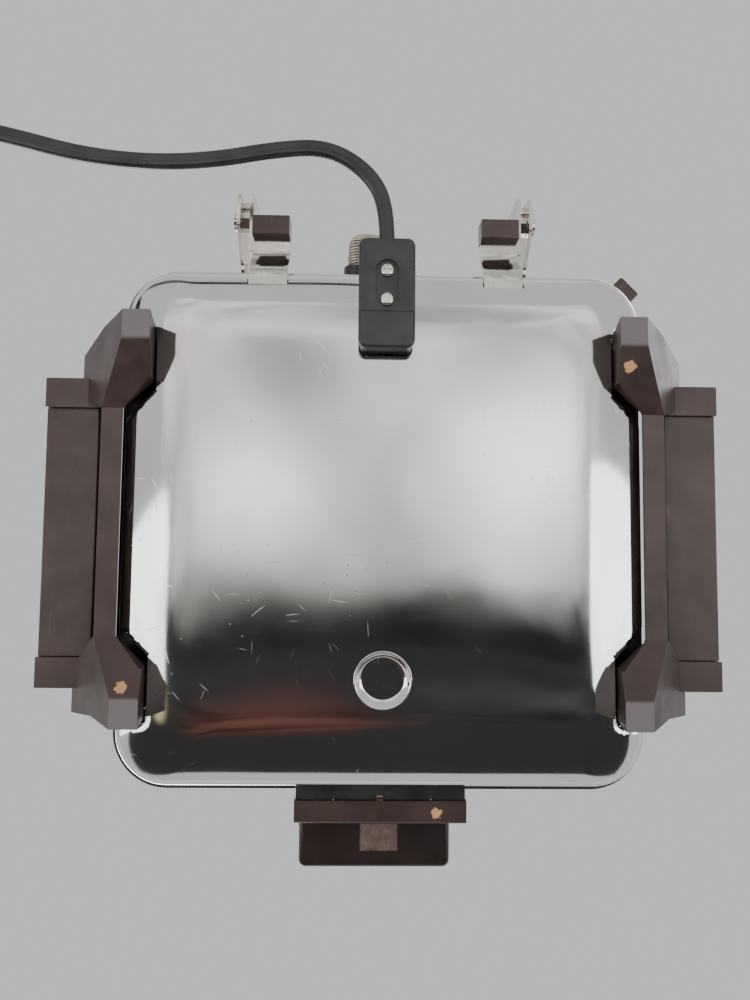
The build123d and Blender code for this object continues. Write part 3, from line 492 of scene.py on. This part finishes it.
def profile():
    """(inset, height, corner radius) of each ring, from the ledge round the rim and down to the belly."""
    rings = [(7.0, RIM, 21.0), (3.5, RIM, 24.5), (1.3, RIM, 26.7), (0.5, RIM - 0.25, 27.5),
             (0.1, RIM - 0.8, 27.9), (0.0, RIM - 1.6, 28.0)]
    for i in range(1, 15):
        share = i / 15
        rings.append((CREASE_INSET * share, RIM - 1.6 - (RIM - 1.6 - CREASE) * share, 28 - 2 * share))
    span = BELLY_EDGE - CREASE_INSET
    for i in range(0, 25):
        u = (i / 24) ** 1.15
        drop = (1 - u) ** 2.7
        corner = 26 - 4 * min(1, u * span / 18.5) + 2 * max(0, u - 0.55)
        rings.append((CREASE_INSET + span * u, BELLY + (CREASE - BELLY) * drop, corner))
    skirt = 6 + 14                                  # the ring on the crease itself
    (a, b, c), (d, e, f), (g, h, k) = rings[skirt - 1], rings[skirt], rings[skirt + 1]
    rings[skirt] = ((a + 2 * d + g) / 4, (b + 2 * e + h) / 4, (c + 2 * f + k) / 4)
    return rings


def columns():
    """Where each column meets a ring: ('side', axis, sign, share) or ('corner', sx, sy, angle)."""
    fine = [-1.0]
    while fine[-1] < 1 - 1e-6:
        step = 0.0135 if abs(fine[-1]) > 0.34 else 0.045
        fine.append(min(1.0, fine[-1] + step))
    coarse = list(np.linspace(-1, 1, 49))
    quarter = [math.radians(90 * i / 22) for i in range(1, 22)]
    places = []
    for start, shares in ((0, fine), (1, coarse), (2, fine), (3, coarse)):
        places += [("side", start, share) for share in shares]
        places += [("corner", start, angle) for angle in quarter]
    return places


def ring_points(half_x, half_y, corner, places):
    """One rounded rectangle, anticlockwise from its +X side."""
    points = []
    for kind, start, value in places:
        a, b = (half_x, half_y) if start % 2 == 0 else (half_y, half_x)
        if kind == "side":
            x, y = a, value * (b - corner)
        else:
            x, y = a - corner + corner * math.cos(value), b - corner + corner * math.sin(value)
        for _ in range(start):
            x, y = -y, x
        points.append((x, y))
    return points


def pressed(rings, grids):
    """Sinks the four pockets into the rings' sides, as the CAD shell has them."""
    path = [(HALF_X - inset, z) for inset, z, _ in rings]
    run = np.concatenate([[0], np.cumsum([math.dist(p, q) for p, q in zip(path, path[1:])])])
    falling = [-z for _, z in path]
    shrinking = [-x for x, _ in path[4:]]
    start = np.interp(-POCKET_TOP, falling, run)
    skirt_x = np.interp(-POCKET_TOP, falling, [x for x, _ in path])
    for along, grid in zip(run, grids):
        for point in grid:
            y = abs(point[1])
            wall_x = POCKET_WALL + max(0, POCKET_LOW - y) / POCKET_SLANT
            weight = 1 - ease(y, POCKET_HIGH - 2.5, POCKET_HIGH + 1.5)
            if weight == 0 or wall_x > skirt_x - 0.5 or abs(point[0]) < wall_x - 3:
                continue
            end = np.interp(-wall_x, shrinking, run[4:])
            share = (along - start) / (end - start)
            if not 0 < share < 1:
                continue
            low = np.interp(end, run, [z for _, z in path])
            roof, wall = skirt_x - wall_x, POCKET_TOP - low
            gone = share * (roof + wall)
            x_to = min(abs(point[0]), skirt_x - min(gone, roof))
            z_to = POCKET_TOP - max(0, gone - roof)
            point[0] += (math.copysign(x_to, point[0]) - point[0]) * weight
            point[2] += (z_to - point[2]) * weight


def crown_drop(x, y):
    return CROWN * max(0, 1 - (x / 108) ** 2) * max(0, 1 - (y / 106) ** 2)


def shell_surface(with_pockets):
    """Outer face of a shell: rings from the ledge down to the belly, then shrinking to its middle."""
    rings, places = profile(), columns()
    grids = [[[x, y, z] for x, y in ring_points(HALF_X - inset, HALF_Y - inset, corner, places)]
             for inset, z, corner in rings]
    if with_pockets:
        pressed(rings, grids)
    last = grids[-1]
    for i in range(1, 23):
        scale = 1 - i / 23
        grids.append([[x * scale, y * scale, z] for x, y, z in last])
    points = [tuple(p) for grid in grids for p in grid] + [(0.0, 0.0, BELLY)]
    points = [(x, y, z - crown_drop(x, y)) for x, y, z in points]
    count = len(places)
    faces = lattice_faces(len(grids), count)
    tip, first = len(points) - 1, (len(grids) - 1) * count
    faces += [(first + c, first + (c + 1) % count, tip) for c in range(count)]
    return points, faces


def cutter(name, points, depth):
    """An upright prism to cut with: an outline at z, and its depth upwards."""
    count = len(points)
    solid = points + [(x, y, z + depth) for x, y, z in points]
    faces = [tuple(range(count))[::-1], tuple(range(count, 2 * count))]
    faces += [(i, (i + 1) % count, count + (i + 1) % count, count + i) for i in range(count)]
    thing = bpy.data.objects.new(name, mesh_from(name, solid, faces))
    bpy.context.collection.objects.link(thing)
    return thing


def shell(name, node, body, upside, cutters):
    points, faces = shell_surface(with_pockets=not upside)
    if upside:
        points = [(x, y, MIRROR - z) for x, y, z in points]
    else:
        faces = [face[::-1] for face in faces]
    rough = bpy.data.objects.new(name + "_work", mesh_from(name, points, faces))
    bpy.context.collection.objects.link(rough)
    wall = rough.modifiers.new("sheet", "SOLIDIFY")
    wall.thickness = 1.0 * MM
    wall.offset = -1
    for tool in cutters:
        cut = rough.modifiers.new(tool.name, "BOOLEAN")
        cut.operation = "DIFFERENCE"
        cut.object = tool
        cut.solver = "EXACT"
    mesh = applied(rough)
    for thing in [rough] + cutters:
        bpy.data.objects.remove(thing)
    sharpen(mesh, 38)
    made = piece(name, mesh, "chrome_shell", body)
    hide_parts(node)


def circle(x, y, z, radius, count=72):
    angles = [2 * math.pi * i / count for i in range(count)]
    return [(x + radius * math.cos(angle), y + radius * math.sin(angle), z) for angle in angles]


def slot_cutter(x):
    """Opening for a hinge strap in the rear slope."""
    return cutter("strap_slot", [(x - 10.6, 113, 20.4), (x + 10.6, 113, 20.4), (x + 10.6, 134, 20.4),
                                 (x - 10.6, 134, 20.4)], 3.2)


def window_cutter():
    """Opening for the browning lever in the lid's rear corner."""
    points = []
    for radius, turns in ((12, range(-35, 36, 7)), (44, range(35, -36, -7))):
        for degrees in turns:
            angle = math.radians(135 + degrees)
            points.append((-114 + radius * math.cos(angle), 112 + radius * math.sin(angle), 75.7))
    return cutter("lever_window", points[::-1], 2.6)


shell("base_chrome", "base_shell", "base", False,
                    [cutter("recess_hole", circle(*RECESS, 5, 14.0), 14), slot_cutter(61), slot_cutter(-61)])
shell("lid_chrome", "lid_shell", "lid", True, [window_cutter()])


def lathe(name, profile_points, count, slot, body, place=Matrix.Identity(4)):
    """A turned piece about Z from a closed outline of (radius, height), placed by a matrix, all in mm."""
    points = []
    for radius, height in profile_points:
        for i in range(count):
            angle = 2 * math.pi * i / count
            spot = place @ Vector((radius * math.cos(angle), radius * math.sin(angle), height))
            points.append(tuple(spot))
    last = (len(profile_points) - 1) * count
    faces = lattice_faces(len(profile_points), count)
    faces += [(last + c, last + (c + 1) % count, (c + 1) % count, c) for c in range(count)]
    mesh = mesh_from(name, points, [face[::-1] for face in faces])
    sharpen(mesh, 50)
    return piece(name, mesh, slot, body)


def recess_dish():
    """The sunken round seat in the belly: rolled lip, steep wall and slightly domed floor."""
    x, y = RECESS
    z = BELLY - crown_drop(x, y)
    tilt = math.atan(CROWN * 2 * y / 106 ** 2)
    outside = [(14.3, 0.3), (14.25, -0.05), (14.0, -0.25), (13.7, -0.25), (13.4, -0.02), (13.0, 0.4),
               (12.4, 1.02), (11.8, 1.6), (11.2, 2.1), (10.75, 2.4), (10.35, 2.55), (9.6, 2.6), (6.0, 2.55),
               (0.02, 2.52)]
    inside = [(0.02, 3.5), (10.0, 3.6), (11.6, 3.0), (12.8, 1.9), (13.8, 1.1), (14.3, 1.1)]
    place = Matrix.Translation((x, y, z)) @ Matrix.Rotation(tilt, 4, "X")
    lathe("recess_dish", outside + inside, 72, "chrome_shell", "base", place)


recess_dish()

# ------------------------------------------------------------------ conduit: a coiled guard in two halves
CONDUIT = [(16, 140.5, 44), (16, 150, 44), (15, 158.6, 47), (0, 161.3, 57.5), (-15, 158.6, 68),
           (-16, 150, 71), (-16, 140.5, 71)]
COIL_RADIUS, WIRE_RADIUS, COIL_PITCH = 3.9, 0.6, 1.55


def conduit():
    line = line_of(CONDUIT, 24)
    steps = np.linalg.norm(np.diff(line, axis=0), axis=1)
    run = np.concatenate([[0], np.cumsum(steps)])
    turns = run[-1] / COIL_PITCH
    count = int(turns * 14)
    along = np.linspace(0, run[-1], count)
    middle = np.stack([np.interp(along, run, line[:, k]) for k in range(3)], 1)
    forward = np.gradient(middle, axis=0)
    forward /= np.linalg.norm(forward, axis=1)[:, None]
    side = np.cross(forward, np.array([0.55, 0.1, -0.83]))
    side /= np.linalg.norm(side, axis=1)[:, None]
    other = np.cross(forward, side)
    phase = 2 * math.pi * along / COIL_PITCH
    out = side * np.cos(phase)[:, None] + other * np.sin(phase)[:, None]
    wire = middle + COIL_RADIUS * out
    cross = np.cross(np.gradient(wire, axis=0), out)
    cross /= np.linalg.norm(cross, axis=1)[:, None]
    section = [2 * math.pi * k / 7 for k in range(7)]
    rings = [[tuple(wire[i] + WIRE_RADIUS * (math.cos(a) * out[i] + math.sin(a) * cross[i])) for a in section]
             for i in range(count)]
    half = count // 2
    centre = middle[half] * MM + np.array([0, SHIFT, 0])
    ends = (middle[0] * MM + np.array([0, SHIFT, 0]), middle[-1] * MM + np.array([0, SHIFT, 0]))
    for name, part, low, high, start, end in (
            ("conduit_lower_half", rings[:half + 1], "base", "hinge_pins", ends[0], centre),
            ("conduit_upper_half", rings[half:], "hinge_pins", "lid", centre, ends[1])):
        faces = lattice_faces(len(part), 7)
        faces += [tuple(range(7))[::-1], tuple(range(len(part) * 7 - 7, len(part) * 7))]
        coil = piece(name, mesh_from(name, [p for ring in part for p in ring], faces), "spring_wire")
        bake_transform(coil)
        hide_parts("conduit_spring")


conduit()


# ------------------------------------------------------------------ plug: moulded body with a ribbed sleeve
def plug_body():
    """A moulded two-blade plug: rounded body that narrows to a ribbed, tapered sleeve on the cord."""
    x, z = 287.0, 7.5
    stations = [(69.0, 11.0, 6.4, 0.35), (69.4, 11.8, 7.2, 0.35), (71.0, 12.0, 7.5, 0.35),
                (84.0, 12.0, 7.5, 0.35), (88.0, 11.4, 7.5, 0.4), (92.0, 10.0, 7.3, 0.5),
                (96.0, 8.6, 6.7, 0.6), (99.0, 7.4, 6.0, 0.7)]
    y = 99.0
    for rib in range(5):
        half, thick = 6.6 - 0.4 * rib, 5.0 - 0.4 * rib
        stations += [(y + 0.3, half, thick, 0.8), (y + 1.6, half, thick, 0.8), (y + 1.9, half - 0.8,
                     thick - 0.7, 0.8), (y + 2.7, half - 0.8, thick - 0.7, 0.8)]
        y += 3.0
    count = 48
    points = []
    for place, half, thick, round_off in stations:
        power = 2 / (2 + 6 * (1 - round_off))
        for i in range(count):
            a = 2 * math.pi * i / count
            c, s = math.cos(a), math.sin(a)
            lift = z if place < 99 else z - (place - 99) * 0.05
            points.append((x + half * math.copysign(abs(c) ** power, c), place,
                           lift + thick * math.copysign(abs(s) ** power, s)))
    faces = [face[::-1] for face in lattice_faces(len(stations), count)]
    faces += [tuple(range(count)), tuple(range(len(points) - count, len(points)))[::-1]]
    mesh = mesh_from("plug_body", points, [face[::-1] for face in faces])
    sharpen(mesh, 42)
    made = piece("plug_body", mesh, "cord_jacket", "base")
    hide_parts("power_plug")
    return made


plug_piece = plug_body()
paint(power_lead, "cord_jacket")


# ------------------------------------------------------------------ small parts in front of the base
def tab(name, x0, x1, y0, y1, z0, z1, slot, body, edge=0.3):
    """A small bevelled block."""
    work = bmesh.new()
    bmesh.ops.create_cube(work, size=1)
    for vert in work.verts:
        vert.co = ((x0 + (vert.co.x + 0.5) * (x1 - x0)) * MM,
                   (y0 + (vert.co.y + 0.5) * (y1 - y0)) * MM + SHIFT,
                   (z0 + (vert.co.z + 0.5) * (z1 - z0)) * MM)
    bmesh.ops.bevel(work, geom=work.edges[:], offset=edge * MM, segments=2, affect="EDGES")
    mesh = bpy.data.meshes.new(name)
    work.to_mesh(mesh)
    work.free()
    return piece(name, mesh, slot, body)


tab("front_bar_clip", -1.4, 2.2, -141.4, -138.2, 32.6, 36.0, "plated_steel", "base")
tab("front_bar_pin_right", 23.4, 24.6, -141.3, -140.0, 32.7, 35.0, "plated_steel", "base", 0.2)
tab("front_bar_pin_left", -26.4, -25.0, -141.3, -139.8, 32.7, 35.0, "plated_steel", "base", 0.2)


# ------------------------------------------------------------------ floor, lights, and what chrome reflects
FLOOR_LEVEL = -0.0004


def pale_floor():
    """One-sided pale floor: a surface from above, clear from below, so that the underside can be seen."""
    n = Nodes("floor")
    tone = n.mix(n.level(n.noise(6, 5), 0.3, 0.7), (0.70, 0.69, 0.675), (0.74, 0.73, 0.72))
    rough = n.level(n.noise(30, 4), 0.3, 0.7, 0.6, 0.75)
    n.finish(tone, rough)
    clear = n.new("ShaderNodeBsdfTransparent")
    side = n.new("ShaderNodeNewGeometry")
    both = n.new("ShaderNodeMixShader")
    n.link(side.outputs["Backfacing"], both.inputs[0])
    n.link(n.shader.outputs[0], both.inputs[1])
    n.link(clear.outputs[0], both.inputs[2])
    n.link(both.outputs[0], n.tree.nodes["Material Output"].inputs["Surface"])
    return n.material


def flat(name, x0, x1, y0, y1, z, material):
    mesh = bpy.data.meshes.new(name)
    mesh.from_pydata([(x0, y0, z), (x1, y0, z), (x1, y1, z), (x0, y1, z)], [], [(0, 1, 2, 3)])
    thing = bpy.data.objects.new(name, mesh)
    mesh.materials.append(material)
    bpy.context.collection.objects.link(thing)
    return thing


floor_paint = pale_floor()
patch = flat("floor_under", -0.35, 0.35, -0.35, 0.35, FLOOR_LEVEL, floor_paint)
patch.visible_glossy = False
patch.visible_diffuse = False
patch.visible_shadow = False
for name, x0, x1, y0, y1 in (("floor_left", -4, -0.35, -4, 4), ("floor_right", 0.35, 4, -4, 4),
                             ("floor_front", -0.35, 0.35, -4, -0.35), ("floor_back", -0.35, 0.35, 0.35, 4)):
    flat(name, x0, x1, y0, y1, FLOOR_LEVEL, floor_paint).visible_shadow = False


def card(name, x0, x1, y0, y1, z, colour, glow):
    """A card that only reflections see."""
    material = bpy.data.materials.new(name)
    material.use_nodes = True
    shader = material.node_tree.nodes["Principled BSDF"]
    shader.inputs["Base Color"].default_value = (*colour, 1)
    shader.inputs["Roughness"].default_value = 0.9
    shader.inputs["Emission Color"].default_value = (*colour, 1)
    shader.inputs["Emission Strength"].default_value = glow
    thing = flat(name, x0, x1, y0, y1, z, material)
    thing.visible_camera = thing.visible_diffuse = thing.visible_shadow = False
    return thing


def gradient_card():
    """Soft bright card for the chrome to reflect: two hot spots, a grey patch and greyer edges."""
    thing = card("bright_card", -0.9, 0.95, -0.26, 1.25, -0.96, (0.8, 0.8, 0.79), 1.0)
    n = Nodes("bright_card_pattern")
    tone = n.level(n.noise(2.4, 2, 0.5, None, 0.6), 0.32, 0.66, 0.75, 1.25)
    for centre, radius, change in (((-0.38, 0.17, -0.96), 0.34, 1.5), ((0.27, 0.10, -0.96), 0.24, 1.1),
                                   ((0.18, 0.44, -0.96), 0.20, -0.45), ((-0.1, 1.0, -0.96), 0.5, -0.4)):
        away = n.new("ShaderNodeVectorMath", operation="DISTANCE")
        n.link(n.place, away.inputs[0])
        away.inputs[1].default_value = centre
        spot = n.new("ShaderNodeMapRange", interpolation_type="SMOOTHSTEP")
        for key, value in (("From Min", radius), ("From Max", 0.0), ("To Max", change)):
            spot.inputs[key].default_value = value
        n.link(away.outputs["Value"], spot.inputs["Value"])
        total = n.new("ShaderNodeMath", operation="ADD")
        n.link(tone, total.inputs[0])
        n.link(spot.outputs["Result"], total.inputs[1])
        tone = total.outputs["Value"]
    spread = n.new("ShaderNodeSeparateXYZ")
    n.link(n.place, spread.inputs[0])
    edge = n.new("ShaderNodeMath", operation="ADD")
    n.link(spread.outputs["Y"], edge.inputs[0])
    n.link(n.level(n.noise(5.5, 2, 0.5, (0.5, 1, 1), 0.4), 0.3, 0.7, -0.05, 0.05), edge.inputs[1])
    fade = n.new("ShaderNodeMapRange", interpolation_type="SMOOTHSTEP")
    for key, value in (("From Min", -0.20), ("From Max", -0.03), ("To Min", 0.03)):
        fade.inputs[key].default_value = value
    n.link(edge.outputs["Value"], fade.inputs["Value"])
    total = n.new("ShaderNodeMath", operation="MULTIPLY")
    n.link(tone, total.inputs[0])
    n.link(fade.outputs["Result"], total.inputs[1])
    glow = n.new("ShaderNodeEmission")
    n.link(total.outputs["Value"], glow.inputs["Strength"])
    glow.inputs["Color"].default_value = (1.0, 0.985, 0.96, 1)
    n.link(glow.outputs[0], n.tree.nodes["Material Output"].inputs["Surface"])
    thing.data.materials[0] = n.material


gradient_card()
card("dark_card", -2.4, 2.4, -3.0, -0.25, -0.95, (0.012, 0.012, 0.014), 0.3)


def glow_card(name, at, reach, z, colour, strength, streak):
    """A soft oval glow with uneven streaks across it, before the dark card."""
    thing = card(name, at[0] - reach[0], at[0] + reach[0], at[1] - reach[1], at[1] + reach[1], z, colour, 0)
    n = Nodes(name + "_pattern")
    oval = n.new("ShaderNodeMapping")
    oval.inputs["Scale"].default_value = (1 / reach[0], 1 / reach[1], 0)
    oval.inputs["Location"].default_value = (-at[0] / reach[0], -at[1] / reach[1], 0)
    n.link(n.place, oval.inputs["Vector"])
    away = n.new("ShaderNodeVectorMath", operation="LENGTH")
    n.link(oval.outputs["Vector"], away.inputs[0])
    soft = n.new("ShaderNodeMapRange", interpolation_type="SMOOTHSTEP")
    for key, value in (("From Min", 0.97), ("From Max", 0.25)):
        soft.inputs[key].default_value = value
    n.link(away.outputs["Value"], soft.inputs["Value"])
    glow = n.new("ShaderNodeEmission")
    n.link(n.level(n.noise(3.2, 2, 0.5, (0.6, streak, 1), 0.5), 0.38, 0.62, 0.3 * strength, strength),
           glow.inputs["Strength"])
    glow.inputs["Color"].default_value = (*colour, 1)
    clear = n.new("ShaderNodeBsdfTransparent")
    both = n.new("ShaderNodeMixShader")
    n.link(soft.outputs["Result"], both.inputs[0])
    n.link(clear.outputs[0], both.inputs[1])
    n.link(glow.outputs[0], both.inputs[2])
    n.link(both.outputs[0], n.tree.nodes["Material Output"].inputs["Surface"])
    thing.data.materials[0] = n.material


glow_card("warm_card", (0.22, -0.53), (0.42, 0.27), -0.94, (0.34, 0.155, 0.125), 0.55, 4.5)
glow_card("yellow_card", (0.74, -0.42), (0.16, 0.16), -0.93, (0.86, 0.76, 0.42), 1.2, 1.0)
glow_card("grey_card", (-0.35, -0.40), (0.42, 0.16), -0.93, (0.30, 0.30, 0.31), 0.30, 3.0)


def light(name, at, towards, size_x, size_y, power, colour=(1, 1, 1), glossy=True):
    data = bpy.data.lights.new(name, "AREA")
    data.shape = "RECTANGLE"
    data.size, data.size_y = size_x, size_y
    data.energy = power
    data.color = colour
    thing = bpy.data.objects.new(name, data)
    thing.location = at
    thing.rotation_euler = (Vector(towards) - Vector(at)).to_track_quat("-Z", "Y").to_euler()
    thing.visible_camera = False
    thing.visible_glossy = glossy
    bpy.context.collection.objects.link(thing)


light("key_above", (0.7, -0.9, 1.4), (0, 0, 0.05), 1.1, 1.1, 26)
light("fill_above", (-1.2, 0.6, 1.1), (0, 0, 0.05), 1.2, 1.2, 12)
light("soft_below", (0.15, 0.42, -1.0), (0.0, 0.05, 0), 1.5, 0.9, 10, glossy=False)
light("low_right", (1.0, -0.2, -0.55), (0.12, 0, 0.03), 0.5, 0.9, 4)
light("low_left", (-1.0, -0.1, -0.6), (-0.12, 0, 0.03), 0.5, 0.9, 4)
light("low_front", (0.0, -0.75, -0.5), (0, -0.12, 0.04), 0.8, 0.3, 2.0, glossy=False)

world = bpy.data.worlds.new("studio")
bpy.context.scene.world = world
world.use_nodes = True
world.node_tree.nodes["Background"].inputs["Color"].default_value = (0.80, 0.80, 0.81, 1)
world.node_tree.nodes["Background"].inputs["Strength"].default_value = 0.85
